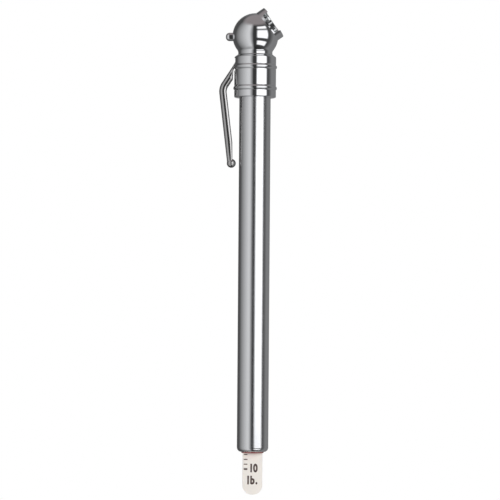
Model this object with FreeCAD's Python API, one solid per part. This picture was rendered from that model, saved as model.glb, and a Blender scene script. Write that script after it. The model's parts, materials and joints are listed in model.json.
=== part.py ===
import FreeCAD, Part
import math
import os

from FreeCAD import Vector

# Pencil tyre pressure gauge: angled chuck head, clip collar, barrel, sprung piston and a sliding
# indicator bar. Lengths are in millimetres. The origin is on the barrel's axis, where its straight
# wall meets the rolled-in lower edge. +Z runs up to the head, the valve mouth leans towards +X and
# the pocket clip hangs on the -X side.

# Barrel
barrelRadius = 4.75
barrelWall = 0.4
barrelExposed = 105.8       # straight wall between the rolled edge and the collar
rollRadius = 1.35           # outside radius of the rolled-in lower edge
swage = 0.2                 # how much smaller in radius the tube is inside the collar
swageRise = 0.4
barrelTop = 116.7
boreRadius = barrelRadius - barrelWall
exitRadius = barrelRadius - rollRadius

# Collar
collarRadius = 6.325
collarHeight = 13.1
collarBore = 5.35
collarLip = 0.8             # thickness of the lip that closes the bottom around the barrel
lipGap = 0.03               # between that lip and the swaged tube
crimpGap = 0.02             # between the crimped top edge and the head's neck
bevelHeight = 0.85
collarCorner = 0.3
ringRadius = 6.72
ringHeight = 1.4
ringRise = (2.85, 9.25)     # centres of the two raised rings above the collar's bottom
ringShoulder = 0.3
ringRoot = 0.4              # how far a ring's section reaches into the sleeve's wall
collarBottom = barrelExposed
collarTop = collarBottom + collarHeight
windowWidth = 3.6
windowLow = 113.9
windowHigh = 117.9

# Head
ballRadius = 6.93
ballCentre = Vector(0, 0, 124.5)
neckRadius = 5.19
neckFillet = 0.25
flangeRadius = 5.3
flangeBottom = 117.3
crimpBottom = 118.0         # underside of the collar's top edge, crimped over the flange
spigotRadius = 4.13
spigotBottom = 105.0
airHoleRadius = 1.3
airHoleOffset = -1.6
airHoleDrop = 2.6           # the air hole ends this far below the ball's centre, in the mouth's plenum
spreadRadius = 3.0          # shallow recess that spreads the air over the piston
spreadDepth = 0.4

# Valve mouth: places along its own axis are counted from the ball's centre
mouthTilt = 35.0            # degrees above the horizontal
mouthShift = 0.35           # the mouth's axis passes this far above the ball's centre
mouthRadius = 5.25
mouthFace = 7.02
mouthBore = 4.0
rimRound = 0.3
notchWidth = 6.7
notchDepth = 2.0
notchCorner = 0.8
grooveRadius = 4.45
grooveHigh = 2.4
sealHigh = 1.2
sealLow = -1.2
pinSeatRadius = 3.5
pinSeatLow = -2.2
plenumRadius = 2.5
plenumLow = -3.7
overlap = 0.1               # how far pieces of one solid run into each other before they are joined

# Seal and depressor pin
sealHole = 1.6
sealGap = 0.03
depressorRadius = 0.8
depressorTip = 2.3
depressorGap = 0.02
depressorRound = 0.25
fluteRadius = 0.75
fluteCircle = 2.1
fluteCount = 4

# Deflator pin on the back of the ball
deflatorRadius = 1.27
deflatorRise = -0.3
deflatorTip = -8.97
deflatorRoot = -4.95
deflatorDome = 1.1
deflatorGap = 0.01

# Pocket clip
sheet = 0.6
clipRoot = Vector(-5.47, 0, 117.395)     # outer face of the tongue, inside the collar's window
clipBend = Vector(-11.05, 0, 108.83)     # where the two straight runs of the outer face would meet
clipEnd = Vector(-8.34, 0, 86.2)
bendRadius = 5.0
tongueWidth = 2.8
channelWidth = 3.0
channelDepth = 2.42
flankTop = 114.8
flankRun = 1.6              # the leg reaches its full width this far below the flanks' tops
flankInnerX = -6.62
tongueRun = 0.6             # the tongue keeps its width down to this far above the flanks' tops
channelStop = 0.4           # solid metal left above the ball
channelEndWidth = 2.4
tipBallRadius = 1.37
tipBall = Vector(-7.05, 0, 85.85)
clipReach = 20.0            # size of the blocks that trim the clip, past it on every side

# Clip band, held between the barrel and the collar
bandInner = 4.57
bandOuter = 5.12
bandBottom = 107.6
bandTop = 116.6
bandGap = 70.0              # degrees left open on the +X side
lugThickness = 0.6
lugReach = 5.4
lugRoot = 0.2               # how far outside the band's inner wall the lug begins

# Piston
pistonBottom = 95.5
springSeatTop = 97.5
pistonTop = 102.5
pistonRadius = 4.25
pistonSpigot = 3.25
pistonLand = 2.0            # between the spring's shoulder and the oil groove
pistonGroove = 0.8          # width of the oil groove
grooveDepth = 0.35
tappedDepth = 5.0
cupHeight = 2.3
cupBase = 1.1
cupRadius = 4.31
cupTaper = 0.2              # how much narrower the cup is at its base
cupLip = 0.55
cupClear = 0.15             # between the clamping washer and the cup's lip
washerThickness = 0.5
washerRadius = 3.1
screwRadius = 0.98
screwHeadRadius = 1.9
screwHeadHeight = 1.2
screwLength = 6.0
screwRound = 0.3
screwSlot = 0.5
screwGap = 0.02             # between the shank and the piston's hole
holeGap = 0.05              # between the shank and the washer's and the cup's holes

# Indicator bar
barWidth = 5.95
barThickness = 2.4
barEdge = 0.35              # radius along the bar's four long edges
barLength = 100.0
barHome = -4.55             # lowest point of the bar when it is pushed home
barOut = 9.7                # how far the bar stands out from there
barTipRadius = 2.8
barHeadLength = 4.0
barHeadThickness = 3.4
barHeadEdge = 1.2
barLow = barHome - barOut

# Lower end of the barrel
bushingRadius = 4.3
bushingTop = 3.2
bushingNose = 3.35
noseProud = 0.3
nestGap = 0.05              # between the bushing and the rolled-in edge
slotGap = 0.06              # between the bushing's slot and the bar
washerGap = 0.03            # between the friction washer's slot and the bar
frictionWasher = 0.8
seatWasher = 0.6
endWasherRadius = 4.2
seatHole = 3.3
springSeat = bushingTop + frictionWasher + seatWasher

# Calibrated spring
springWire = 0.8
springMean = 3.75
springTurns = 34

# Head gasket
gasketInset = 0.1           # gasket's edge inside the flange's
gasketGap = 0.05            # between the gasket's hole and the spigot

zAxis = Vector(0, 0, 1)
tilt = math.radians(mouthTilt)
mouthAxis = Vector(math.cos(tilt), 0, math.sin(tilt))
mouthUp = Vector(-math.sin(tilt), 0, math.cos(tilt))
mouthCentre = ballCentre + mouthUp * mouthShift


def save(shape, node):
    """Write one node, which is one solid."""
    shape.Solids[0].exportStep(os.path.join("parts", node + ".step"))


def disc(radius, low, high, x=0.0):
    """Upright cylinder between two heights."""
    return Part.makeCylinder(radius, high - low, Vector(x, 0, low), zAxis)


def ring(outer, inner, low, high):
    return disc(outer, low, high).cut(disc(inner, low, high))


def turned(edges):
    """Solid turned about the Z axis from the edges of a closed profile."""
    return Part.Face(Part.Wire(edges)).revolve(Vector(0, 0, 0), zAxis, 360)


def turnedPoints(points):
    """Solid turned about the Z axis from straight lines through (radius, height) points."""
    corners = [Vector(r, 0, z) for r, z in points]
    return turned(Part.makePolygon(corners + corners[:1]).Edges)


def alongMouth(radius, low, high):
    """Cylinder on the mouth's axis."""
    return Part.makeCylinder(radius, high - low, mouthCentre + mouthAxis * low, mouthAxis)


def arc(centre, radius, startDegrees, endDegrees):
    """Arc in the XZ plane through its middle point."""
    def at(degrees):
        a = math.radians(degrees)
        return centre + Vector(radius * math.cos(a), 0, radius * math.sin(a))
    return Part.Arc(at(startDegrees), at((startDegrees + endDegrees) / 2), at(endDegrees)).toShape()


def flatBar(width, thickness, edge, low, high):
    """Flat bar with rounded long edges, standing on end."""
    bar = Part.makeBox(width, thickness, high - low, Vector(-width / 2, -thickness / 2, low))
    upright = [e for e in bar.Edges if e.BoundBox.ZLength > (high - low) / 2]
    return bar.makeFillet(edge, upright)


def barSlot(gap, low, high):
    """Cutter for a slot that the bar slides in, with a gap all round it."""
    return flatBar(barWidth + 2 * gap, barThickness + 2 * gap, barEdge + gap, low - 1, high + 1)


def makeBarrel():
    """Thin tube: rolled in at the bottom and swaged a little smaller inside the collar."""
    centre = Vector(exitRadius, 0, 0)
    inner = rollRadius - barrelWall
    neckOuter = barrelRadius - swage
    neckInner = boreRadius - swage
    swageTop = barrelExposed + swageRise
    wall = [
        (barrelRadius, 0), (barrelRadius, barrelExposed), (neckOuter, barrelExposed),
        (neckOuter, barrelTop), (neckInner, barrelTop), (neckInner, swageTop),
        (boreRadius, barrelExposed - swageRise), (boreRadius, 0),
    ]
    corners = [Vector(r, 0, z) for r, z in wall]
    edges = Part.makePolygon(corners).Edges
    edges.append(arc(centre, inner, 0, -90))
    edges.append(Part.makeLine(Vector(exitRadius, 0, -inner), Vector(exitRadius, 0, -rollRadius)))
    edges.append(arc(centre, rollRadius, -90, 0))
    return turned(edges)


def makeCollar():
    """Ferrule with two raised rings, a bevelled top crimped over the head, and a window."""
    topRadius = neckRadius + crimpGap
    bottomHole = barrelRadius - swage + lipGap
    sleeve = turnedPoints([
        (bottomHole, collarBottom), (collarRadius, collarBottom),
        (collarRadius, collarTop - bevelHeight), (topRadius, collarTop),
        (topRadius, crimpBottom), (collarBore, crimpBottom),
        (collarBore, collarBottom + collarLip), (bottomHole, collarBottom + collarLip),
    ])
    edge = [e for e in sleeve.Edges
            if abs(e.BoundBox.ZMax - collarBottom) < 1e-4 and abs(e.BoundBox.XMax - collarRadius) < 1e-4]
    sleeve = sleeve.makeFillet(collarCorner, edge)
    for rise in ringRise:
        middle = collarBottom + rise
        half = ringHeight / 2
        sleeve = sleeve.fuse(turnedPoints([
            (collarBore + ringRoot, middle - half), (ringRadius - ringShoulder, middle - half),
            (ringRadius, middle - half + ringShoulder), (ringRadius, middle + half - ringShoulder),
            (ringRadius - ringShoulder, middle + half), (collarBore + ringRoot, middle + half),
        ]))
    window = Part.makeBox(
        ringRadius, windowWidth, windowHigh - windowLow,
        Vector(-ringRadius - 1, -windowWidth / 2, windowLow))
    return sleeve.cut(window).removeSplitter()


def makeHead():
    """Hollow ball on a neck and spigot, with the angled valve mouth and its notched rim."""
    ball = Part.makeSphere(ballRadius, ballCentre)
    neck = disc(neckRadius, crimpBottom - overlap, ballCentre.z)
    body = ball.fuse(neck).removeSplitter()
    throat = [e for e in body.Edges
              if e.BoundBox.ZLength < 1e-3 and e.BoundBox.ZMin > crimpBottom + 0.5
              and abs(e.BoundBox.YMax - neckRadius) < 1e-2]
    body = body.makeFillet(neckFillet, throat)
    body = body.fuse(disc(flangeRadius, flangeBottom, crimpBottom))
    body = body.fuse(turnedPoints([
        (0, spigotBottom), (spigotRadius - swage, spigotBottom), (spigotRadius, spigotBottom + swage),
        (spigotRadius, flangeBottom + overlap), (0, flangeBottom + overlap),
    ]))
    mouth = alongMouth(mouthRadius, 0, mouthFace)
    rim = [e for e in mouth.Edges if e.Closed and e.CenterOfMass.sub(mouthCentre).dot(mouthAxis) > 1]
    mouth = mouth.makeFillet(rimRound, rim)
    body = body.fuse(mouth).removeSplitter()
    for radius, low, high in (
            (mouthBore, sealHigh, mouthFace + 1), (grooveRadius, sealLow, grooveHigh),
            (pinSeatRadius, pinSeatLow, sealLow + overlap),
            (plenumRadius, plenumLow, pinSeatLow + overlap)):
        body = body.cut(alongMouth(radius, low, high))
    body = body.cut(disc(airHoleRadius, spigotBottom - 1, ballCentre.z - airHoleDrop, airHoleOffset))
    body = body.cut(disc(spreadRadius, spigotBottom - 1, spigotBottom + spreadDepth))
    hole = Part.makeCylinder(
        deflatorRadius + deflatorGap, ballRadius, Vector(deflatorRoot, 0, ballCentre.z + deflatorRise),
        Vector(-1, 0, 0))
    return body.cut(hole).cut(makeNotch()).removeSplitter()


def makeNotch():
    """Block that cuts the notch in the rim, on the -Y side of the mouth."""
    block = Part.makeBox(
        notchWidth, mouthRadius, notchDepth * 2,
        Vector(-notchWidth / 2, -mouthRadius - 1, mouthFace - notchDepth))
    corners = [e for e in block.Edges
               if abs(e.CenterOfMass.z - (mouthFace - notchDepth)) < 1e-4
               and abs(abs(e.CenterOfMass.x) - notchWidth / 2) < 1e-4]
    block = block.makeFillet(notchCorner, corners)
    block.rotate(Vector(0, 0, 0), Vector(0, 1, 0), 90 - mouthTilt)
    block.translate(mouthCentre)
    return block


def makeSeal():
    seal = alongMouth(grooveRadius - sealGap, sealLow, sealHigh)
    return seal.cut(alongMouth(sealHole, sealLow - 1, sealHigh + 1))


def makeDepressor():
    """Centre pin on a fluted flange that lets the air past."""
    flange = alongMouth(pinSeatRadius - depressorGap, pinSeatLow, sealLow)
    stem = alongMouth(depressorRadius, pinSeatLow, depressorTip)
    tip = [e for e in stem.Edges if e.Closed and e.CenterOfMass.sub(mouthCentre).dot(mouthAxis) > 1]
    pin = flange.fuse(stem.makeFillet(depressorRound, tip))
    for i in range(fluteCount):
        a = 2 * math.pi * (i + 0.5) / fluteCount
        side = mouthUp * (fluteCircle * math.cos(a)) + Vector(0, fluteCircle * math.sin(a), 0)
        hole = alongMouth(fluteRadius, pinSeatLow - 1, sealLow + 1)
        hole.translate(side)
        pin = pin.cut(hole)
    return pin.removeSplitter()


def makeDeflator():
    """Short domed pin, pressed into the back of the ball."""
    height = ballCentre.z + deflatorRise
    pin = Part.makeCylinder(
        deflatorRadius, deflatorRoot - deflatorTip, Vector(deflatorRoot, 0, height), Vector(-1, 0, 0))
    tip = [e for e in pin.Edges if e.Closed and e.CenterOfMass.x < deflatorTip + 0.1]
    return pin.makeFillet(deflatorDome, tip)


def clipPath(offset):
    """Corner points of the clip's outer face, moved inwards by an offset: root, bend, end."""
    upper = (clipBend - clipRoot).normalize()
    lower = (clipEnd - clipBend).normalize()
    root = clipRoot + Vector(-upper.z, 0, upper.x) * offset
    inwards = Vector(-lower.z, 0, lower.x) * offset
    gap = clipBend + inwards - root
    along = (gap.x * lower.z - gap.z * lower.x) / (upper.x * lower.z - upper.z * lower.x)
    return [root, root + upper * along, clipEnd + inwards]


def clipFace(outer, inner, roundOuter, roundInner):
    """Closed outline in the XZ plane between two paths, with a round bend in each."""
    def bent(points, radius):
        a, b, c = points
        u = (a - b).normalize()
        v = (c - b).normalize()
        half = math.acos(u.dot(v)) / 2
        back = radius / math.tan(half)
        middle = (u + v).normalize()
        centre = b + middle * (radius / math.sin(half))
        start = b + u * back
        end = b + v * back
        return [Part.makeLine(a, start), Part.Arc(start, centre - middle * radius, end).toShape(),
                Part.makeLine(end, c)]
    first = bent(outer, roundOuter)
    second = bent(inner[::-1], roundInner)
    closing = Part.makeLine(outer[-1], inner[-1])
    top = Part.makeLine(inner[0], outer[0])
    return Part.Face(Part.Wire(first + [closing] + second + [top]))


def clipWidth(inset):
    """Plan of the clip seen from -X: tongue, wider channel, taper to the ball end."""
    half = [
        (tongueWidth / 2, clipRoot.z + 2), (tongueWidth / 2, flankTop + tongueRun),
        (channelWidth / 2, flankTop - flankRun), (channelEndWidth / 2, tipBall.z - 3),
    ]
    right = [Vector(-clipReach, y - inset, z) for y, z in half]
    left = [Vector(-clipReach, inset - y, z) for y, z in reversed(half)]
    outline = Part.makePolygon(right + left + right[:1])
    return Part.Face(outline).extrude(Vector(clipReach, 0, 0))


def slab(face):
    """Extrude an XZ outline far enough both ways along Y."""
    wide = channelWidth + 2
    solid = face.extrude(Vector(0, wide, 0))
    solid.translate(Vector(0, -wide / 2, 0))
    return solid


def makeClip():
    """Pressed clip: a flat tongue, then a channel open towards the barrel, ending in a ball."""
    def block(x, low, high):
        return Part.makeBox(clipReach, clipReach, high - low, Vector(x, -clipReach / 2, low))
    outer = clipPath(0)
    under = clipPath(sheet)
    skin = slab(clipFace(outer, under, bendRadius, bendRadius - sheet))
    flanks = slab(clipFace(outer, clipPath(channelDepth), bendRadius, bendRadius - channelDepth))
    flanks = flanks.common(block(flankInnerX - clipReach, tipBall.z, flankTop))
    body = skin.fuse(flanks).common(clipWidth(0))
    deeper = clipPath(channelDepth + 1)
    hollow = slab(clipFace(under, deeper, bendRadius - sheet, bendRadius - sheet - 2))
    hollow = hollow.common(block(-clipReach, tipBall.z + tipBallRadius + channelStop, clipRoot.z))
    body = body.cut(hollow.common(clipWidth(sheet)))
    body = body.cut(block(-clipReach, tipBall.z - clipReach, tipBall.z))
    body = body.fuse(Part.makeSphere(tipBallRadius, tipBall))
    return body.cut(block(clipRoot.x, flankTop, clipRoot.z + clipReach)).removeSplitter()


def makeBand():
    """Open band round the barrel, with a lug that carries the clip's tongue."""
    band = ring(bandOuter, bandInner, bandBottom, bandTop)
    half = math.radians(bandGap / 2)
    side = Vector(math.cos(half), math.sin(half), 0) * (bandOuter * 2)
    centre = Vector(0, 0, 0)
    wedge = Part.Face(Part.makePolygon([centre, Vector(side.x, -side.y, 0), side, centre]))
    wedge.translate(Vector(0, 0, bandBottom - 1))
    band = band.cut(wedge.extrude(Vector(0, 0, bandTop - bandBottom + 2)))
    lug = Part.makeBox(
        lugReach - bandInner - lugRoot, tongueWidth, lugThickness,
        Vector(-lugReach, -tongueWidth / 2, bandTop - lugThickness))
    return band.fuse(lug).removeSplitter()


def makePiston():
    """Turned body with a spring shoulder below and a tapped hole for the cup's screw."""
    low = springSeatTop + pistonLand
    high = low + pistonGroove
    neck = pistonRadius - grooveDepth
    body = turnedPoints([
        (0, pistonBottom), (pistonSpigot, pistonBottom), (pistonSpigot, springSeatTop),
        (pistonRadius, springSeatTop), (pistonRadius, low), (neck, low), (neck, high),
        (pistonRadius, high), (pistonRadius, pistonTop), (0, pistonTop),
    ])
    return body.cut(disc(screwRadius + screwGap, pistonTop - tappedDepth, pistonTop + 1))


def makeCup():
    """Rubber cup: a flat base with a lip that the air spreads outwards."""
    lip = pistonTop + cupHeight
    base = pistonTop + cupBase
    hole = screwRadius + holeGap
    return turnedPoints([
        (hole, pistonTop), (cupRadius - cupTaper, pistonTop), (cupRadius, lip),
        (cupRadius - cupLip, lip), (washerRadius + cupClear, base), (hole, base),
    ])


def makeScrew():
    """Slotted screw that clamps the washer and the cup to the piston."""
    seat = pistonTop + cupBase + washerThickness
    head = disc(screwHeadRadius, seat, seat + screwHeadHeight)
    edge = [e for e in head.Edges if e.Closed and e.BoundBox.ZMin > seat + screwHeadHeight / 2]
    head = head.makeFillet(screwRound, edge)
    slot = Part.makeBox(
        screwHeadRadius * 3, screwSlot, screwSlot,
        Vector(-screwHeadRadius * 1.5, -screwSlot / 2, seat + screwHeadHeight - screwSlot))
    return head.cut(slot).fuse(disc(screwRadius, seat - screwLength, seat)).removeSplitter()


def makeBar():
    """Flat scale bar with rounded edges, a rounded lower tip and a thicker stop head."""
    high = barLow + barLength
    bar = flatBar(barWidth, barThickness, barEdge, barLow, high)
    half = barWidth / 2
    r = barTipRadius
    wide = barThickness
    outline = [
        Part.makeLine(Vector(half, -wide, high), Vector(-half, -wide, high)),
        Part.makeLine(Vector(-half, -wide, high), Vector(-half, -wide, barLow + r)),
        arc(Vector(r - half, -wide, barLow + r), r, 180, 270),
        Part.makeLine(Vector(r - half, -wide, barLow), Vector(half - r, -wide, barLow)),
        arc(Vector(half - r, -wide, barLow + r), r, 270, 360),
        Part.makeLine(Vector(half, -wide, barLow + r), Vector(half, -wide, high)),
    ]
    face = Part.Face(Part.Wire(outline))
    bar = bar.common(face.extrude(Vector(0, wide * 2, 0)))
    head = flatBar(barWidth, barHeadThickness, barHeadEdge, high - barHeadLength, high)
    return bar.fuse(head).removeSplitter()


def makeBushing():
    """Guide for the bar: it fills the rolled end and its nose shows in the opening."""
    nest = rollRadius - barrelWall - nestGap
    low = -rollRadius - noseProud
    centre = Vector(exitRadius, 0, 0)
    corners = [Vector(exitRadius, 0, -nest), Vector(bushingNose, 0, -nest), Vector(bushingNose, 0, low),
               Vector(0, 0, low), Vector(0, 0, bushingTop), Vector(bushingRadius, 0, bushingTop),
               Vector(bushingRadius, 0, 0)]
    edges = Part.makePolygon(corners).Edges
    edges.append(arc(centre, nest, 0, -90))
    return turned(edges).cut(barSlot(slotGap, low, bushingTop))


def makeFrictionWasher():
    """Fibre washer whose slot drags on the bar, so the bar stays where it was pushed to."""
    low = bushingTop
    high = bushingTop + frictionWasher
    return disc(endWasherRadius, low, high).cut(barSlot(washerGap, low, high))


def makeSpring():
    """Open coil between the seat washer and the piston's shoulder."""
    low = springSeat + springWire / 2
    rise = springSeatTop - springSeat - springWire
    path = Part.makeHelix(rise / springTurns, rise, springMean)
    path.translate(Vector(0, 0, low))
    start = Part.makeCircle(springWire / 2, Vector(springMean, 0, low), Vector(0, 1, 0))
    pipe = Part.BRepOffsetAPI.MakePipeShell(path)
    pipe.setFrenetMode(True)
    pipe.add(Part.Wire([start]))
    pipe.build()
    pipe.makeSolid()
    return pipe.shape()


def main():
    os.makedirs("parts", exist_ok=True)
    washerLow = pistonTop + cupBase
    seatLow = bushingTop + frictionWasher
    save(makeBarrel(), "barrel_tube")
    save(makeCollar(), "collar_sleeve")
    save(makeHead(), "chuck_head")
    save(makeSeal(), "inlet_seal")
    save(makeDepressor(), "depressor_pin")
    save(makeDeflator(), "deflator_pin")
    save(ring(flangeRadius - gasketInset, spigotRadius + gasketGap, barrelTop, flangeBottom), "head_gasket")
    save(makeBand(), "clip_band")
    save(makeClip(), "pocket_clip")
    save(makePiston(), "piston_body")
    save(makeCup(), "piston_cup")
    save(ring(washerRadius, screwRadius + holeGap, washerLow, washerLow + washerThickness), "cup_washer")
    save(makeScrew(), "piston_screw")
    save(makeSpring(), "calibrated_spring")
    save(ring(endWasherRadius, seatHole, seatLow, springSeat), "spring_seat_washer")
    save(makeFrictionWasher(), "friction_washer")
    save(makeBushing(), "guide_bushing")
    save(makeBar(), "indicator_bar")


main()
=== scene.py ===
import json
import math

import bmesh
import bpy
from mathutils import Matrix, Vector


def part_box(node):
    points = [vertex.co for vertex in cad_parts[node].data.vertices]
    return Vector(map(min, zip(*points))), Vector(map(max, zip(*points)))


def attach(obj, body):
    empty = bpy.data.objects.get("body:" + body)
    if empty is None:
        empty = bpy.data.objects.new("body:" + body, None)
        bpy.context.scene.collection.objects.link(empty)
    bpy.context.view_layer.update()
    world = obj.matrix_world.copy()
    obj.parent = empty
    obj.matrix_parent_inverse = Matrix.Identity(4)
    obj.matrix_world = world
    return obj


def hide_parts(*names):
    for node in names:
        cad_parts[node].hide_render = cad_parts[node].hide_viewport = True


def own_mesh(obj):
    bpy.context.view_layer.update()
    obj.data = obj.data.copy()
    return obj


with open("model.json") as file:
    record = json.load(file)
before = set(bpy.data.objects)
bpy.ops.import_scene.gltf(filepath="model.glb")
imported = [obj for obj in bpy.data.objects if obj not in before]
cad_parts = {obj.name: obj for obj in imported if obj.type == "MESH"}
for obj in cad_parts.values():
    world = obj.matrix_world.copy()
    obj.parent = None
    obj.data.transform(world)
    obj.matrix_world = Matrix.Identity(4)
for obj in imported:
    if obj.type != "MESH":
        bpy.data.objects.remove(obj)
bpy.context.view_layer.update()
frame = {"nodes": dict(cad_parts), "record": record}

mm = 0.001
# metres: level with each other, one and the same point, and a boolean's crumb
level = 1e-9
touching = 1e-7
sliver = 2e-6
# mm that a cutter goes past the face it cuts
past = 1
up = Vector((0, 0, 1))
origin = Vector((0, 0, 0))
scene = bpy.context.scene


def linear(hexColour):
    # sRGB hex to the linear values that shaders take, with full alpha
    values = [int(hexColour[i:i + 2], 16) / 255 for i in (1, 3, 5)]
    return tuple(v / 12.92 if v <= 0.04045 else ((v + 0.055) / 1.055) ** 2.4 for v in values) + (1.0,)


def addNode(tree, kind, settings=None, links=None):
    # settings go to sockets by name or number, or to the node itself; links name the sockets they feed
    node = tree.nodes.new(kind)
    for key, value in (settings or {}).items():
        if isinstance(key, str) and hasattr(node, key):
            setattr(node, key, value)
        else:
            node.inputs[key].default_value = value
    for key, output in (links or {}).items():
        tree.links.new(output, node.inputs[key])
    return node


def newMaterial(name):
    material = bpy.data.materials.new(name)
    material.use_nodes = True
    material.node_tree.nodes.clear()
    return material, material.node_tree


def closeMaterial(tree, settings, links):
    shader = addNode(tree, "ShaderNodeBsdfPrincipled", settings, links)
    addNode(tree, "ShaderNodeOutputMaterial", None, {"Surface": shader.outputs[0]})


def addNoise(tree, size, detail, place):
    # noise whose grain is about this many mm across
    return addNode(tree, "ShaderNodeTexNoise", {"Scale": 1000 / size, "Detail": detail}, {"Vector": place})


def mixTones(tree, first, second, factor):
    # a colour that drifts between two near tones
    tone = addNode(tree, "ShaderNodeMix", {"data_type": "RGBA", "A": linear(first), "B": linear(second)})
    tree.links.new(factor, tone.inputs["Factor"])
    return tone.outputs["Result"]


def shadeByAngle(bm, degrees):
    # smooth faces, with a hard edge wherever two of them meet at more than this
    limit = math.radians(degrees)
    for face in bm.faces:
        face.smooth = True
    for edge in bm.edges:
        edge.smooth = len(edge.link_faces) == 2 and edge.calc_face_angle(0) < limit


def finishMesh(bm, name, material, degrees=30):
    # seams closed, normals out, hard edges marked; the mesh becomes an object at the origin
    bmesh.ops.remove_doubles(bm, verts=bm.verts[:], dist=touching)
    bmesh.ops.recalc_face_normals(bm, faces=bm.faces[:])
    shadeByAngle(bm, degrees)
    mesh = bpy.data.meshes.new(name)
    bm.to_mesh(mesh)
    bm.free()
    piece = bpy.data.objects.new(name, mesh)
    scene.collection.objects.link(piece)
    if material:
        mesh.materials.append(material)
    return piece


def applyModifiers(piece):
    # the modifiers' result becomes the piece's own mesh
    graph = bpy.context.evaluated_depsgraph_get()
    done = bpy.data.meshes.new_from_object(piece.evaluated_get(graph))
    piece.modifiers.clear()
    piece.data = done


def turnProfile(profile, steps):
    # profile: (radius, height, rounding) in mm, a closed outline; returns the solid turned about +Z
    bm = bmesh.new()
    corners = [bm.verts.new((r * mm, 0, z * mm)) for r, z, _ in profile]
    bm.faces.new(corners)
    rounded = {}
    for vert, (_, _, rounding) in zip(corners, profile):
        if rounding:
            rounded.setdefault(rounding, []).append(vert)
    for rounding, verts in sorted(rounded.items()):
        bmesh.ops.bevel(bm, geom=verts, affect="VERTICES", offset=rounding * mm, segments=6,
                        profile=0.5, material=-1)
    bmesh.ops.delete(bm, geom=bm.faces[:], context="FACES_ONLY")
    onAxis = [e for e in bm.edges if all(abs(v.co.x) < level for v in e.verts)]
    bmesh.ops.delete(bm, geom=onAxis, context="EDGES")
    bmesh.ops.spin(bm, geom=bm.verts[:] + bm.edges[:], cent=origin, axis=up, angle=2 * math.pi,
                   steps=steps, use_merge=True)
    bmesh.ops.remove_doubles(bm, verts=bm.verts[:], dist=touching)
    bmesh.ops.recalc_face_normals(bm, faces=bm.faces[:])
    return bm


def turnedPiece(name, profile, material, steps=160, matrix=None, degrees=30):
    bm = turnProfile(profile, steps)
    if matrix:
        bmesh.ops.transform(bm, matrix=matrix, verts=bm.verts[:])
    return finishMesh(bm, name, material, degrees)


def tidyMesh(piece, degrees=30):
    # slivers left by a boolean are merged away, then the hard edges are marked again
    bm = bmesh.new()
    bm.from_mesh(piece.data)
    bmesh.ops.remove_doubles(bm, verts=bm.verts[:], dist=sliver)
    bmesh.ops.dissolve_degenerate(bm, edges=bm.edges[:], dist=sliver)
    shadeByAngle(bm, degrees)
    bm.to_mesh(piece.data)
    bm.free()


def combine(piece, tool, operation):
    # exact boolean, after which the tool is gone
    step = piece.modifiers.new("combine", "BOOLEAN")
    step.operation = operation
    step.solver = "EXACT"
    step.object = tool
    applyModifiers(piece)
    bpy.data.objects.remove(tool)
    tidyMesh(piece)


def platedMetal(name, colour, roughness, wave, draw):
    # Decorative plate: a near mirror whose haze drifts a little and whose surface rolls very slightly,
    # so that reflections keep their shape but lose their ruled edges. A drawn tube adds fine lines along
    # its length, which spread each reflection sideways.
    look = {"hazeSize": 7.0, "waveSize": 2.6, "lineSize": 0.12, "lineStretch": 0.01,
            "waveDepth": 0.0002, "lineDepth": 0.00002}
    material, tree = newMaterial(name)
    place = addNode(tree, "ShaderNodeTexCoord").outputs["Object"]
    haze = addNoise(tree, look["hazeSize"], 3.0, place)
    rough = addNode(tree, "ShaderNodeMapRange", {"To Min": roughness[0], "To Max": roughness[1]},
                    {"Value": haze.outputs[0]})
    rolls = addNoise(tree, look["waveSize"], 1.0, place)
    bump = addNode(tree, "ShaderNodeBump", {"Strength": wave, "Distance": look["waveDepth"]},
                   {"Height": rolls.outputs[0]})
    along = addNode(tree, "ShaderNodeMapping", {"Scale": (1.0, 1.0, look["lineStretch"])}, {"Vector": place})
    lines = addNoise(tree, look["lineSize"], 2.0, along.outputs[0])
    drawn = addNode(tree, "ShaderNodeBump", {"Strength": draw, "Distance": look["lineDepth"]},
                    {"Height": lines.outputs[0], "Normal": bump.outputs[0]})
    closeMaterial(tree, {"Base Color": linear(colour), "Metallic": 1.0},
                  {"Roughness": rough.outputs[0], "Normal": drawn.outputs[0]})
    return material


def ringedMetal(name, colour, roughness, spacing):
    # Bare metal with fine rings round it, this many mm apart, and a soft patchy gloss
    look = {"spotSize": 1.11, "ringDepth": 0.0001, "waver": 0.6}
    material, tree = newMaterial(name)
    place = addNode(tree, "ShaderNodeTexCoord").outputs["Object"]
    # the bands are a sine that turns through twenty radians for each unit of its scale
    rings = addNode(tree, "ShaderNodeTexWave", {"wave_type": "BANDS", "bands_direction": "Z",
                                                "Scale": 2 * math.pi * 1000 / spacing / 20,
                                                "Distortion": look["waver"]}, {"Vector": place})
    spots = addNoise(tree, look["spotSize"], 4.0, place)
    rough = addNode(tree, "ShaderNodeMapRange", {"To Min": roughness * 0.75, "To Max": roughness * 1.3},
                    {"Value": spots.outputs[0]})
    bump = addNode(tree, "ShaderNodeBump", {"Strength": 0.12, "Distance": look["ringDepth"]},
                   {"Height": rings.outputs[0]})
    closeMaterial(tree, {"Base Color": linear(colour), "Metallic": 1.0},
                  {"Roughness": rough.outputs[0], "Normal": bump.outputs[0]})
    return material


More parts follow.
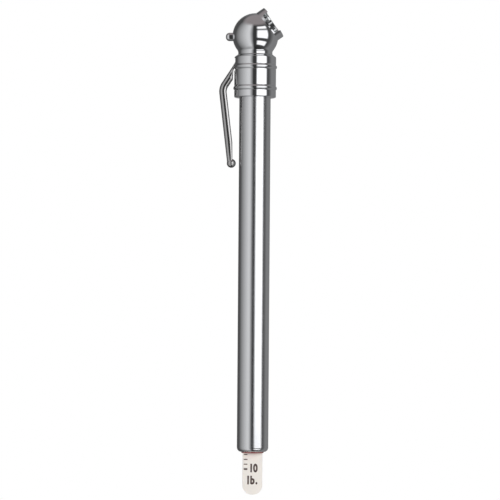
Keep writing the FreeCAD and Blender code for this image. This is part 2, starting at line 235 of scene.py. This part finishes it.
def mouldedRubber(name):
    # Nitrile rubber from a mould: dull black, with a fine skin that breaks up what little shine it has
    look = {"skinSize": 0.25, "skinDepth": 0.00005, "bloomSize": 2.0}
    material, tree = newMaterial(name)
    place = addNode(tree, "ShaderNodeTexCoord").outputs["Object"]
    skin = addNoise(tree, look["skinSize"], 3.0, place)
    bloom = addNoise(tree, look["bloomSize"], 2.0, place)
    tone = mixTones(tree, "#161616", "#232220", bloom.outputs[0])
    bump = addNode(tree, "ShaderNodeBump", {"Strength": 0.2, "Distance": look["skinDepth"]},
                   {"Height": skin.outputs[0]})
    closeMaterial(tree, {"Roughness": 0.62, "IOR": 1.52}, {"Base Color": tone, "Normal": bump.outputs[0]})
    return material


def extrudedNylon(name):
    # White nylon strip from a die: warm white that lets a little light in, a soft gloss, and faint lines
    # along the draw
    look = {"lineSize": 0.4, "lineStretch": 0.02, "lineDepth": 0.00005, "cloudSize": 5.56}
    material, tree = newMaterial(name)
    place = addNode(tree, "ShaderNodeTexCoord").outputs["Object"]
    along = addNode(tree, "ShaderNodeMapping", {"Scale": (1.0, 1.0, look["lineStretch"])}, {"Vector": place})
    lines = addNoise(tree, look["lineSize"], 2.0, along.outputs[0])
    cloud = addNoise(tree, look["cloudSize"], 2.0, place)
    tone = mixTones(tree, "#ece6df", "#f2ede6", cloud.outputs[0])
    bump = addNode(tree, "ShaderNodeBump", {"Strength": 0.06, "Distance": look["lineDepth"]},
                   {"Height": lines.outputs[0]})
    closeMaterial(tree, {"Roughness": 0.34, "IOR": 1.53, "Subsurface Weight": 0.15,
                         "Subsurface Radius": (0.6, 0.5, 0.4), "Subsurface Scale": 0.001},
                  {"Base Color": tone, "Normal": bump.outputs[0]})
    return material


def cloudedStock(name, colour, other, roughness, ior, size):
    # Plastic, fibre or ink: two near tones in soft clouds, so that the colour never looks flat
    material, tree = newMaterial(name)
    place = addNode(tree, "ShaderNodeTexCoord").outputs["Object"]
    cloud = addNoise(tree, size, 3.0, place)
    tone = mixTones(tree, colour, other, cloud.outputs[0])
    closeMaterial(tree, {"Roughness": roughness, "IOR": ior}, {"Base Color": tone})
    return material


# buffed plate: sharp, slightly rolling reflections
chrome = platedMetal("chromePlateBuffed", "#d4d5d6", (0.03, 0.07), 0.05, 0.0)
# plate over a drilled bore that no buff reaches: softer reflections
boreChrome = platedMetal("chromePlateInBore", "#d0d2d2", (0.07, 0.11), 0.02, 0.0)
# plate over a drawn tube: reflections blurred into wide soft bands
tubeChrome = platedMetal("chromePlateOnDrawnTube", "#d4d5d6", (0.15, 0.21), 0.02, 0.3)
# plate over pressed spring steel: greyer, with a satin edge to its reflections
clipNickel = platedMetal("nickelPlateOnSpringSteel", "#b0afae", (0.1, 0.16), 0.05, 0.0)
# warm yellow with the close rings of a lathe tool
brass = ringedMetal("brassTurned", "#c9a35c", 0.28, 0.754)
# mid grey, a little duller, with wider rings
steel = ringedMetal("springSteelDrawn", "#9a9a9c", 0.32, 1.257)
rubber = mouldedRubber("nitrileRubberMoulded")
nylon = extrudedNylon("nylonExtruded")
# dark red with the soft gloss of a polished mould
redPlastic = cloudedStock("acetalMouldedRed", "#7a1512", "#8e1f1a", 0.35, 1.48, 1.2)
# dull red-brown board
fibre = cloudedStock("vulcanFibrePunched", "#6d3026", "#7f3d30", 0.8, 1.5, 0.4)
# brown-grey ink that shines less than the nylon under it
printInk = cloudedStock("padPrintInk", "#4a3b37", "#5b4a45", 0.5, 1.5, 0.3)
print("materials made")

# heights that the exact model sets
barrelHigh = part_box("barrel_tube")[1]
collarLow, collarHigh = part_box("collar_sleeve")
barLow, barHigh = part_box("indicator_bar")
springLow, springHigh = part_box("calibrated_spring")
mounts = {m["name"]: m for m in frame["record"]["mounts"]}
inlet = mounts["valve_inlet"]
barrelRadius = mounts["barrel"]["dims"]["r_mm"]
collarBottom = collarLow.z / mm
mouthAxis = Vector(inlet["axis"])
mouthPoint = Vector(inlet["pos_m"])


barrel = {"wall": 0.4, "roll": 1.35, "lipRound": 0.08, "swage": 0.2, "swageRun": 0.05, "innerRun": 0.4,
          "top": barrelHigh.z / mm}


def makeBarrel():
    # drawn tube: rolled in at its lower edge, reduced a little where it goes into the collar
    b = barrel
    r = barrelRadius
    w = b["wall"]
    narrow = r - b["swage"]
    profile = [
        (r, -b["roll"], b["roll"]), (r, collarBottom, 0), (narrow, collarBottom + b["swageRun"], 0),
        (narrow, b["top"], 0), (narrow - w, b["top"], 0), (narrow - w, collarBottom + b["innerRun"], 0),
        (r - w, collarBottom - b["innerRun"], 0), (r - w, -b["roll"] + w, b["roll"] - w),
        (r - b["roll"], -b["roll"] + w, 0), (r - b["roll"], -b["roll"], b["lipRound"]),
    ]
    return turnedPiece("barrelTube", profile, tubeChrome, 192, degrees=38)


tube = makeBarrel()
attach(tube, "barrel")
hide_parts("barrel_tube")
print("barrel made")


collar = {"radius": 6.325, "bore": 5.35, "lip": 0.8, "lipRound": 0.1, "hole": 4.58, "corner": 0.35,
          "top": collarHigh.z / mm, "topRadius": 5.21, "topRound": 0.05, "bevel": 0.85, "bevelRound": 0.18,
          "crimp": 0.9, "ring": 6.72, "ringHeight": 1.4, "ringRise": (2.85, 9.25), "apex": 0.12,
          "ringRound": 0.62, "groove": (0.08, 0.14), "window": (3.6, 113.9, 117.9), "windowReach": 4}


def makeCollar():
    # ferrule with two raised rings, each between two fine grooves, and a window for the clip's tongue
    c = collar
    b = collarBottom
    profile = [(c["hole"], b, c["lipRound"]), (c["radius"], b, c["corner"])]
    for rise in c["ringRise"]:
        low = b + rise - c["ringHeight"] / 2
        high = b + rise + c["ringHeight"] / 2
        deep, wide = c["groove"]
        profile += [(c["radius"], low - wide, 0), (c["radius"] - deep, low, 0),
                    (c["ring"] + c["apex"], b + rise, c["ringRound"]),
                    (c["radius"] - deep, high, 0), (c["radius"], high + wide, 0)]
    profile += [
        (c["radius"], c["top"] - c["bevel"], c["bevelRound"]), (c["topRadius"], c["top"], c["topRound"]),
        (c["topRadius"], c["top"] - c["crimp"], 0), (c["bore"], c["top"] - c["crimp"], 0),
        (c["bore"], b + c["lip"], 0), (c["hole"], b + c["lip"], 0),
    ]
    piece = turnedPiece("collarSleeve", profile, chrome, 192, degrees=20)
    wide, low, high = c["window"]
    bm = bmesh.new()
    bmesh.ops.create_cube(bm, size=1)
    bmesh.ops.scale(bm, vec=Vector((c["windowReach"], wide, high - low)) * mm, verts=bm.verts[:])
    bmesh.ops.translate(bm, vec=Vector((-c["radius"], 0, (low + high) / 2)) * mm, verts=bm.verts[:])
    combine(piece, finishMesh(bm, "window", None), "DIFFERENCE")
    tidyMesh(piece, 20)
    return piece


sleeve = makeCollar()
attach(sleeve, "barrel")
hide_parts("collar_sleeve")
print("collar made")


head = {"ball": 6.93, "centre": 124.5, "neck": 5.19, "neckHigh": 119.8, "neckRound": 0.3,
        "fillet": (0.28, 0.45), "neckTop": 121.5, "flange": 5.3, "flangeLow": 117.3, "crimp": 118.0,
        "spigot": 4.13, "spigotLow": 105.0, "spigotRound": 0.2, "spread": (3.0, 0.4),
        "airHole": 1.3, "airShift": -1.6, "airHigh": 121.9,
        "mouth": 5.25, "face": 7.02, "bore": 4.0, "boreChamfer": 0.3, "rim": 0.3,
        "groove": (4.45, -1.2, 2.4), "seat": (3.5, -2.2), "plenum": (2.5, -3.7), "notch": (6.7, 2.0, 0.8)}
# the inlet's point lies at the top of the seal's groove; the mouth is drawn upright about its centre,
# then turned on to its own axis
mouthCentre = mouthPoint - mouthAxis * head["groove"][2] * mm
toMouth = Matrix.Translation(mouthCentre) @ up.rotation_difference(mouthAxis).to_matrix().to_4x4()


def makeHead():
    # ball on a neck with a hidden spigot, a mouth to one side, and the air's way through them
    h = head
    centre = Vector((0, 0, h["centre"])) * mm
    bm = bmesh.new()
    bmesh.ops.create_uvsphere(bm, u_segments=160, v_segments=120, radius=h["ball"] * mm)
    bmesh.ops.translate(bm, vec=centre, verts=bm.verts[:])
    piece = finishMesh(bm, "chuckHead", chrome)
    filletOut, filletUp = h["fillet"]
    neck = [
        (0, h["spigotLow"], 0), (h["spigot"], h["spigotLow"], h["spigotRound"]),
        (h["spigot"], h["flangeLow"], 0),
        (h["flange"], h["flangeLow"], 0), (h["flange"], h["crimp"], 0), (h["neck"], h["crimp"], 0),
        (h["neck"], h["neckHigh"], h["neckRound"]), (h["neck"] + filletOut, h["neckHigh"] + filletUp, 0),
        (0, h["neckTop"], 0),
    ]
    combine(piece, turnedPiece("neck", neck, chrome, 160), "UNION")
    spreadRadius, spreadDepth = h["spread"]
    spread = [(0, h["spigotLow"] - past, 0), (spreadRadius, h["spigotLow"] - past, 0),
              (spreadRadius, h["spigotLow"] + spreadDepth, 0), (0, h["spigotLow"] + spreadDepth, 0)]
    combine(piece, turnedPiece("spread", spread, chrome, 64), "DIFFERENCE")
    hole = [(0, h["spigotLow"], 0), (h["airHole"], h["spigotLow"], 0), (h["airHole"], h["airHigh"], 0),
            (0, h["airHigh"], 0)]
    shift = Matrix.Translation(Vector((h["airShift"] * mm, 0, 0)))
    combine(piece, turnedPiece("airHole", hole, chrome, 48, shift), "DIFFERENCE")
    mouth = [(0, 0, 0), (h["mouth"], 0, 0), (h["mouth"], h["face"], h["rim"]), (0, h["face"], 0)]
    combine(piece, turnedPiece("mouth", mouth, chrome, 160, toMouth), "UNION")
    grooveRadius, grooveLow, grooveTop = h["groove"]
    seatRadius, seatLow = h["seat"]
    plenumRadius, plenumLow = h["plenum"]
    flare = h["bore"] + h["boreChamfer"]
    half = h["boreChamfer"] / 2
    bore = [
        (0, plenumLow, 0), (plenumRadius, plenumLow, 0), (plenumRadius, seatLow, 0),
        (seatRadius, seatLow, 0), (seatRadius, grooveLow, 0), (grooveRadius, grooveLow, 0),
        (grooveRadius, grooveTop, 0), (h["bore"], grooveTop, 0), (h["bore"], h["face"] - half, 0),
        (flare, h["face"] + half, 0), (flare, h["face"] + past, 0), (0, h["face"] + past, 0),
    ]
    combine(piece, turnedPiece("bore", bore, chrome, 160, toMouth), "DIFFERENCE")
    combine(piece, makeNotch(), "DIFFERENCE")
    tidyMesh(piece, 32)
    # the faces inside the bore take the finish that no buff has reached
    piece.data.materials.append(boreChrome)
    boreReach = h["bore"] + 0.05
    toAxis = toMouth.inverted()
    for face in piece.data.polygons:
        spot = toAxis @ face.center
        if math.hypot(spot.x, spot.y) < boreReach * mm and spot.z > plenumLow * mm:
            face.material_index = 1
    return piece


def makeNotch():
    # cutter for the step in the mouth's rim, with its two lower edges rounded
    wide, deep, corner = head["notch"]
    reach = head["mouth"] + past
    bm = bmesh.new()
    bmesh.ops.create_cube(bm, size=1)
    bmesh.ops.scale(bm, vec=Vector((wide, reach, deep * 2)) * mm, verts=bm.verts[:])
    bmesh.ops.translate(bm, vec=Vector((0, -reach / 2, head["face"])) * mm, verts=bm.verts[:])
    low = [e for e in bm.edges if abs(e.verts[0].co.x - e.verts[1].co.x) < level
           and all(v.co.z < head["face"] * mm for v in e.verts)
           and abs(e.verts[0].co.y - e.verts[1].co.y) > level]
    bmesh.ops.bevel(bm, geom=low, affect="EDGES", offset=corner * mm, segments=8, profile=0.5, material=-1)
    bmesh.ops.transform(bm, matrix=toMouth, verts=bm.verts[:])
    return finishMesh(bm, "notch", None)


ballHead = makeHead()
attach(ballHead, "barrel")
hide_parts("chuck_head")
print("head made")


deflator = {"radius": 1.27, "root": -4.95, "tip": -8.97, "rise": -0.3, "dome": 1.12}


def makeDeflator():
    # short domed pin that sticks out of the back of the ball
    d = deflator
    profile = [(0, -d["root"], 0), (d["radius"], -d["root"], 0), (d["radius"], -d["tip"], d["dome"]),
               (0, -d["tip"], 0)]
    place = Matrix.Translation(Vector((0, 0, (head["centre"] + d["rise"]) * mm)))
    turn = Matrix.Rotation(math.radians(-90), 4, "Y")
    return turnedPiece("deflatorPin", profile, chrome, 64, place @ turn, 40)


pin = makeDeflator()
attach(pin, "barrel")
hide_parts("deflator_pin")
print("deflator pin made")


# root, bend and end are (x, z) on the sheet's outer face; back and backDepth are shares of the half width
# and of the depth
clip = {"sheet": 0.6, "root": (-5.47, 117.395), "bend": (-11.05, 108.83), "end": (-8.34, 86.2),
        "radius": 5.0, "tongue": 2.8, "channel": 3.0, "channelEnd": 2.3, "depth": 2.42, "clear": -6.62,
        "back": 0.58, "backDepth": 0.48, "turnIn": 0.32, "turnPower": 5, "thinPower": 4,
        "ball": 1.37, "ballAt": (-7.05, 85.85), "bendRows": 24, "runRows": 40, "columns": 36,
        "rim": 0.2, "rimSteps": 6}


def clipStations():
    # points of the sheet's outer face from the collar down, with the way in towards the barrel at each
    a, b, e = (Vector((x, 0, z)) for x, z in (clip["root"], clip["bend"], clip["end"]))
    u = (a - b).normalized()
    v = (e - b).normalized()
    half = math.acos(u.dot(v)) / 2
    centre = b + (u + v).normalized() * (clip["radius"] / math.sin(half))
    back = clip["radius"] / math.tan(half)
    start = b + u * back
    end = b + v * back
    first = (centre - start).normalized()
    last = (centre - end).normalized()
    run = clip["runRows"]
    bend = clip["bendRows"]
    stations = [(a.lerp(start, i / run), first) for i in range(run)]
    for i in range(bend):
        inwards = first.slerp(last, i / bend)
        stations.append((centre - inwards * clip["radius"], inwards))
    return stations + [(end.lerp(e, i / run), last) for i in range(run + 1)]


def clipSection(share, half, depth):
    # one point of the outer face across the sheet, share from -1 to 1: flat in the tongue, in the leg a
    # rounded back that runs on into two flanks, which turn in towards their edges
    k = depth / clip["depth"]
    along = abs(share)
    if along < clip["back"]:
        curl = math.pi / 2 * along / clip["back"]
        wide = math.sin(curl)
        deep = (1 - math.cos(curl)) * clip["backDepth"]
    else:
        run = (along - clip["back"]) / (1 - clip["back"])
        wide = 1 - clip["turnIn"] * run ** clip["turnPower"]
        deep = clip["backDepth"] + (1 - clip["backDepth"]) * run
    across = along * (clip["tongue"] / 2 - clip["rim"]) * (1 - k) + half * wide * k
    return Vector((math.copysign(across, share), deep * (depth - clip["rim"] * k)))


def clipLoop(half, depth):
    # closed section of the sheet: outer face, round edge, inner face, round edge; the sheet thins to a
    # rim at its two edges
    last = clip["columns"]
    outer = [clipSection(i / last * 2 - 1, half, depth) for i in range(last + 1)]
    inner = []
    for i, point in enumerate(outer):
        run = (outer[min(i + 1, last)] - outer[max(i - 1, 0)]).normalized()
        edge = (i / last * 2 - 1) ** clip["thinPower"]
        wall = clip["sheet"] * (1 - edge) + clip["rim"] * 2 * edge
        inner.append(point + Vector((-run.y, run.x)) * wall)

    def roundEdge(start, end):
        middle = (start + end) / 2
        steps = clip["rimSteps"]
        turns = [Matrix.Rotation(math.pi * i / steps, 2) for i in range(1, steps)]
        return [middle + turn @ (start - middle) for turn in turns]

    return outer + roundEdge(outer[-1], inner[-1]) + inner[::-1] + roundEdge(inner[0], outer[0]) + outer[:1]


def makeClip():
    # the section swept down the stations, no deeper anywhere than the room it has before the barrel
    stations = clipStations()
    low = clip["end"][1]
    top = next(p.z for p, inwards in stations if (clip["clear"] - p.x) / inwards.x > clip["depth"])
    rows = []
    for point, inwards in stations:
        depth = min(clip["depth"], max(0.0, (clip["clear"] - point.x) / inwards.x))
        taper = min(1.0, (point.z - low) / (top - low))
        half = (clip["channelEnd"] + (clip["channel"] - clip["channelEnd"]) * taper) / 2
        rows.append([point + Vector((0, spot.x, 0)) + inwards * spot.y for spot in clipLoop(half, depth)])
    bm = bmesh.new()
    bmesh.ops.create_grid(bm, x_segments=len(rows[0]) - 1, y_segments=len(rows) - 1, size=1)
    verts = sorted(bm.verts, key=lambda v: (round(v.co.y, 4), v.co.x))
    for vert, spot in zip(verts, sum(rows, [])):
        vert.co = spot * mm
    bmesh.ops.remove_doubles(bm, verts=bm.verts[:], dist=touching)
    ends = [e for e in bm.edges if len(e.link_faces) == 1]
    bmesh.ops.holes_fill(bm, edges=ends, sides=len(rows[0]))
    piece = finishMesh(bm, "pocketClip", clipNickel, 40)
    ballX, ballZ = clip["ballAt"]
    bm = bmesh.new()
    bmesh.ops.create_uvsphere(bm, u_segments=48, v_segments=32, radius=clip["ball"] * mm)
    bmesh.ops.translate(bm, vec=Vector((ballX, 0, ballZ)) * mm, verts=bm.verts[:])
    combine(piece, finishMesh(bm, "clipBall", clipNickel), "UNION")
    tidyMesh(piece, 40)
    return piece


pocketClip = makeClip()
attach(pocketClip, "clip")
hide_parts("pocket_clip")
print("clip made")


bar = {"width": 5.95, "thickness": 2.4, "tip": 2.8, "edge": 0.35, "headLength": 4.0, "headThickness": 3.4,
       "headEdge": 1.2, "headTip": 1.3}
scale = {"pitch": 1.46, "tenAbove": 7.72, "low": 10, "high": 50, "left": -2.62, "tick": 1.1, "thin": 0.28,
         "thick": 0.5, "textHeight": 2.62, "textLeft": -0.62, "textRise": 0.33, "unitLeft": -1.5,
         "unitDrop": 3.3, "unitSpacing": 1.25, "ink": 0.012, "film": 0.018, "narrow": 0.78, "bold": 0.05,
         "merge": 0.008}


def slabOutline(bm, half, low, high, tip):
    # flat outline in the XZ plane with two rounded lower corners
    corners = [bm.verts.new((x * mm, 0, z * mm)) for x, z in
               ((-half, low), (half, low), (half, high), (-half, high))]
    bm.faces.new(corners)
    bmesh.ops.bevel(bm, geom=corners[:2], affect="VERTICES", offset=tip * mm, segments=12, profile=0.5,
                    material=-1)


def flatBar(name, width, thickness, edge, low, high, tip):
    # flat strip with rounded edges all round but at its top end
    bm = bmesh.new()
    slabOutline(bm, width / 2, low, high, tip)
    back = bmesh.ops.extrude_face_region(bm, geom=bm.faces[:])["geom"]
    moved = [g for g in back if isinstance(g, bmesh.types.BMVert)]
    bmesh.ops.translate(bm, vec=(0, thickness * mm, 0), verts=moved)
    bmesh.ops.translate(bm, vec=(0, -thickness / 2 * mm, 0), verts=bm.verts[:])
    bmesh.ops.recalc_face_normals(bm, faces=bm.faces[:])
    rims = [e for e in bm.edges if abs(e.verts[0].co.y - e.verts[1].co.y) < level
            and not all(abs(v.co.z - high * mm) < touching for v in e.verts)]
    bmesh.ops.bevel(bm, geom=rims, affect="EDGES", offset=edge * mm, segments=6, profile=0.5,
                    material=-1)
    return finishMesh(bm, name, nylon, 40)


def makeBar():
    # the bar, with the thicker head that keeps it inside the barrel
    low = barLow.z / mm
    high = barHigh.z / mm
    b = bar
    piece = flatBar("indicatorBar", b["width"], b["thickness"], b["edge"], low, high, b["tip"])
    stop = flatBar("barHead", b["width"], b["headThickness"], b["headEdge"], high - b["headLength"], high,
                   b["headTip"])
    combine(piece, stop, "UNION")
    tidyMesh(piece, 40)
    return piece


def printMark(bm, left, right, low, high):
    # one printed rectangle on the bar's front face
    y = (-bar["thickness"] / 2 - scale["ink"]) * mm
    corners = [bm.verts.new((x * mm, y, z * mm)) for x, z in
               ((left, low), (right, low), (right, high), (left, high))]
    bm.faces.new(corners)


def printText(bm, words, left, middle, height, spacing=1.0):
    # printed letters of this height on the bar's front face, from this left edge
    curve = bpy.data.curves.new("words", "FONT")
    curve.body = words
    curve.size = 1.0
    curve.resolution_u = 6
    curve.offset = scale["bold"]
    curve.space_character = spacing
    holder = bpy.data.objects.new("words", curve)
    scene.collection.objects.link(holder)
    graph = bpy.context.evaluated_depsgraph_get()
    mesh = bpy.data.meshes.new_from_object(holder.evaluated_get(graph))
    bpy.data.objects.remove(holder)
    xs = [v.co.x for v in mesh.vertices]
    ys = [v.co.y for v in mesh.vertices]
    grow = height / (max(ys) - min(ys)) * mm
    place = Matrix.Translation(Vector((left, -bar["thickness"] / 2 - scale["ink"], middle)) * mm)
    stand = Matrix.Rotation(math.radians(90), 4, "X")
    centred = Matrix.Translation((-min(xs), -(min(ys) + max(ys)) / 2, 0))
    mesh.transform(place @ stand @ Matrix.Diagonal((grow * scale["narrow"], grow, grow, 1)) @ centred)
    bm.from_mesh(mesh)
    bpy.data.meshes.remove(mesh)


def makePrint():
    s = scale
    ten = barLow.z / mm + s["tenAbove"]
    bm = bmesh.new()
    for pound in range(s["low"], s["high"] + 1):
        z = ten + (pound - s["low"]) * s["pitch"]
        tens = pound % 10 == 0
        half = (s["thick"] if tens else s["thin"]) / 2
        printMark(bm, s["left"], s["left"] + s["tick"], z - half, z + half)
        if tens:
            printText(bm, str(pound), s["textLeft"], z + s["textRise"], s["textHeight"])
    printText(bm, "lb.", s["unitLeft"], ten - s["unitDrop"], s["textHeight"], s["unitSpacing"])
    bmesh.ops.remove_doubles(bm, verts=bm.verts[:], dist=s["merge"] * mm)
    front = [f for f in bm.faces if f.normal.y > 0]
    bmesh.ops.reverse_faces(bm, faces=front)
    mesh = bpy.data.meshes.new("scalePrint")
    bm.to_mesh(mesh)
    bm.free()
    piece = bpy.data.objects.new("scalePrint", mesh)
    scene.collection.objects.link(piece)
    mesh.materials.append(printInk)
    film = piece.modifiers.new("film", "SOLIDIFY")
    film.thickness = s["film"] * mm
    film.offset = -1
    applyModifiers(piece)
    return piece


scaleBar = makeBar()
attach(scaleBar, "bar")
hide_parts("indicator_bar")
scalePrint = makePrint()
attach(scalePrint, "bar")
print("bar and print made")


spring = {"wire": 0.8, "mean": 3.75, "turns": 34, "perTurn": 20, "sides": 10, "closed": 1.0,
          "closedPitch": 1.03, "travelled": 0.0628}


def makeSpring():
    # a closed turn, the open turns, and a closed turn again; closedPitch is in wires
    s = spring
    low = springLow.z / mm + s["wire"] / 2
    high = springHigh.z / mm - s["wire"] / 2
    flat = s["wire"] * s["closedPitch"] * s["closed"]
    bm = bmesh.new()
    bmesh.ops.create_circle(bm, segments=s["sides"], radius=s["wire"] / 2 * mm)
    bmesh.ops.rotate(bm, cent=origin, matrix=Matrix.Rotation(math.radians(90), 3, "X"), verts=bm.verts[:])
    bmesh.ops.translate(bm, vec=Vector((s["mean"], 0, low)) * mm, verts=bm.verts[:])
    end = bm.verts[:] + bm.edges[:]
    openTurns = s["turns"] - 2 * s["closed"]
    for turns, rise in ((s["closed"], flat), (openTurns, high - low - 2 * flat), (s["closed"], flat)):
        steps = int(turns * s["perTurn"])
        made = bmesh.ops.spin(bm, geom=end, cent=origin, axis=up, angle=2 * math.pi * turns, steps=steps,
                              dvec=Vector((0, 0, rise / steps)) * mm)
        end = made["geom_last"]
    caps = [e for e in bm.edges if len(e.link_faces) == 1]
    bmesh.ops.holes_fill(bm, edges=caps, sides=s["sides"])
    return finishMesh(bm, "calibratedSpring", steel, 50)


coil = makeSpring()
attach(coil, "barrel")
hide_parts("calibrated_spring")
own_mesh(coil)
print("spring made")


# the pieces that keep their exact shape only get a finish
finishes = {
    "inlet_seal": rubber, "head_gasket": rubber, "piston_cup": rubber, "depressor_pin": brass,
    "piston_body": brass, "clip_band": steel, "cup_washer": steel, "piston_screw": steel,
    "spring_seat_washer": steel, "friction_washer": fibre, "guide_bushing": redPlastic,
}
for node, finish in finishes.items():
    slots = frame["nodes"][node].data.materials
    slots.clear()
    slots.append(finish)
print("finishes set")


# floor and camera distance in metres; aim, height, frame and sensor in mm; roll in degrees
studio = {"floorDrop": 0.35, "floorRadius": 1.9, "floorGlow": 0.62, "distance": 0.85,
          "aim": (-1.19, 59.62), "height": 38.7, "frame": 151.3, "roll": 0.41, "sensor": 36}


def makeFloor():
    # pale paper with a glow of its own, so that it looks white; the plate doesn't mirror it
    bm = bmesh.new()
    bmesh.ops.create_circle(bm, cap_ends=True, segments=96, radius=studio["floorRadius"])
    bmesh.ops.translate(bm, vec=(0, 0, -studio["floorDrop"]), verts=bm.verts[:])
    material, tree = newMaterial("paperSweep")
    place = addNode(tree, "ShaderNodeTexCoord").outputs["Object"]
    grain = addNoise(tree, 25.0, 2.0, place)
    tone = mixTones(tree, "#f4f4f3", "#f8f8f7", grain.outputs[0])
    closeMaterial(tree, {"Roughness": 0.9, "Emission Color": (1, 1, 1, 1),
                         "Emission Strength": studio["floorGlow"]}, {"Base Color": tone})
    floor = finishMesh(bm, "floor", material)
    floor.visible_glossy = False


# The room that the plate mirrors, in round numbers. Walls: (azimuth in degrees, brightness). Azimuth 0 is
# the camera's side, in an unlit gap, and +90 is the side that the mouth leans to. A pale wall stands on
# the left, and a dimmer one runs from the right round to the back.
walls = [(-180, 0.25), (-150, 0.1), (-120, 0.1), (-40, 0.9), (-30, 0.9), (-10, 0.05), (80, 0.1), (105, 0.3),
         (180, 0.25)]
# the room darkens towards its floor, and a dull ceiling closes it: (elevation in degrees, share)
floorShade = [(-90, 0.3), (-50, 1.0), (90, 1.0)]
ceiling = {"tone": "#a49c9c", "rise": [(-90, 0.0), (45, 0.0), (60, 1.0), (90, 1.0)]}
# three soft boxes, one above the other, in front and to the right: (azimuth, brightness) across and
# (elevation, share of it) up
boxes = {"across": [(-180, 0.0), (5, 0.0), (15, 2.0), (60, 2.0), (70, 0.0), (180, 0.0)],
         "rise": [(-90, 0.0), (-50, 0.0), (-45, 0.8), (-30, 0.8), (-25, 0.0), (-15, 0.0), (-10, 0.8),
                  (0, 1.0), (20, 0.8), (28, 0.0), (35, 0.8), (40, 0.8), (45, 0.0), (90, 0.0)]}
# everything in the room is a touch cool, and gives only this share of its light to what isn't a mirror
studioLight = {"tone": "#fdfdff", "onMatte": 0.31}


def addRamp(tree, source, marks, place):
    # colour ramp with a mark for each (degrees, value) pair, put along the ramp by place()
    ramp = addNode(tree, "ShaderNodeValToRGB", None, {0: source})
    stops = ramp.color_ramp.elements
    for _ in marks[2:]:
        stops.new(0.5)
    for stop, (where, value) in zip(stops, marks):
        stop.position = place(where)
        stop.color = (value,) * 3 + (1,)
    return ramp.outputs[0]


def makeWorld():
    # the camera sees white paper behind the gauge; mirrors and matte surfaces see the room
    world = bpy.data.worlds.new("studio")
    scene.world = world
    world.use_nodes = True
    tree = world.node_tree
    tree.nodes.clear()
    place = addNode(tree, "ShaderNodeTexCoord")
    split = addNode(tree, "ShaderNodeSeparateXYZ", None, {0: place.outputs["Generated"]})
    back = addNode(tree, "ShaderNodeMath", {"operation": "MULTIPLY", 1: -1.0}, {0: split.outputs[1]})
    turn = addNode(tree, "ShaderNodeMath", {"operation": "ARCTAN2"},
                   {0: split.outputs[0], 1: back.outputs[0]})
    around = addNode(tree, "ShaderNodeMapRange", {"From Min": -math.pi, "From Max": math.pi},
                     {"Value": turn.outputs[0]})
    tall = addNode(tree, "ShaderNodeMapRange", {"From Min": -1.0, "From Max": 1.0},
                   {"Value": split.outputs[2]})

    def aside(degrees):
        return (degrees + 180) / 360

    def rise(degrees):
        return (math.sin(math.radians(degrees)) + 1) / 2

    sides = addNode(tree, "ShaderNodeMix", {"data_type": "RGBA", "blend_type": "MULTIPLY", "Factor": 1.0})
    tree.links.new(addRamp(tree, around.outputs[0], walls, aside), sides.inputs["A"])
    tree.links.new(addRamp(tree, tall.outputs[0], floorShade, rise), sides.inputs["B"])
    above = addNode(tree, "ShaderNodeMix", {"data_type": "RGBA", "B": linear(ceiling["tone"])},
                    {"A": sides.outputs["Result"]})
    tree.links.new(addRamp(tree, tall.outputs[0], ceiling["rise"], rise), above.inputs["Factor"])
    lamp = addNode(tree, "ShaderNodeMix", {"data_type": "RGBA", "blend_type": "MULTIPLY", "Factor": 1.0})
    tree.links.new(addRamp(tree, around.outputs[0], boxes["across"], aside), lamp.inputs["A"])
    tree.links.new(addRamp(tree, tall.outputs[0], boxes["rise"], rise), lamp.inputs["B"])
    both = addNode(tree, "ShaderNodeMix", {"data_type": "RGBA", "blend_type": "ADD", "Factor": 1.0},
                   {"A": above.outputs["Result"], "B": lamp.outputs["Result"]})
    cool = addNode(tree, "ShaderNodeMix", {"data_type": "RGBA", "blend_type": "MULTIPLY", "Factor": 1.0,
                                           "B": linear(studioLight["tone"])}, {"A": both.outputs["Result"]})
    path = addNode(tree, "ShaderNodeLightPath")
    matte = addNode(tree, "ShaderNodeMapRange", {"To Min": 1.0, "To Max": studioLight["onMatte"]},
                    {"Value": path.outputs["Is Diffuse Ray"]})
    sky = addNode(tree, "ShaderNodeBackground", None, {"Color": cool.outputs["Result"],
                                                       "Strength": matte.outputs[0]})
    paper = addNode(tree, "ShaderNodeBackground", {"Color": (1, 1, 1, 1)})
    seen = addNode(tree, "ShaderNodeMixShader", None, {0: path.outputs["Is Camera Ray"], 1: sky.outputs[0],
                                                       2: paper.outputs[0]})
    addNode(tree, "ShaderNodeOutputWorld", None, {"Surface": seen.outputs[0]})


def addSoftLight(name, place, aim, size, power):
    # a round soft light that no mirror shows; metres and watts
    data = bpy.data.lights.new(name, "AREA")
    data.shape = "DISK"
    data.size = size
    data.energy = power
    lamp = bpy.data.objects.new(name, data)
    lamp.location = place
    lamp.rotation_euler = (Vector(aim) - Vector(place)).to_track_quat("-Z", "Y").to_euler()
    lamp.visible_glossy = False
    scene.collection.objects.link(lamp)


def makeCamera():
    # a long lens that takes in the frame's width at the gauge's distance
    s = studio
    data = bpy.data.cameras.new("camera")
    data.sensor_width = s["sensor"]
    data.lens = s["sensor"] * s["distance"] / (s["frame"] * mm)
    camera = bpy.data.objects.new("camera", data)
    aim = Vector((s["aim"][0], 0, s["aim"][1])) * mm
    camera.location = (aim.x, -s["distance"], s["height"] * mm)
    look = (aim - camera.location).to_track_quat("-Z", "Y")
    roll = Matrix.Rotation(math.radians(s["roll"]), 4, "Z")
    camera.rotation_euler = (look.to_matrix().to_4x4() @ roll).to_euler()
    scene.collection.objects.link(camera)
    scene.camera = camera


makeFloor()
makeWorld()
addSoftLight("frontFill", (-0.15, -1.0, 0.3), (0, 0, 0.04), 0.4, 3.6)
addSoftLight("rightKey", (0.8, -0.6, 0.5), (0, 0, 0.05), 0.6, 1.2)
makeCamera()
scene.view_settings.view_transform = "Standard"
print("studio made")
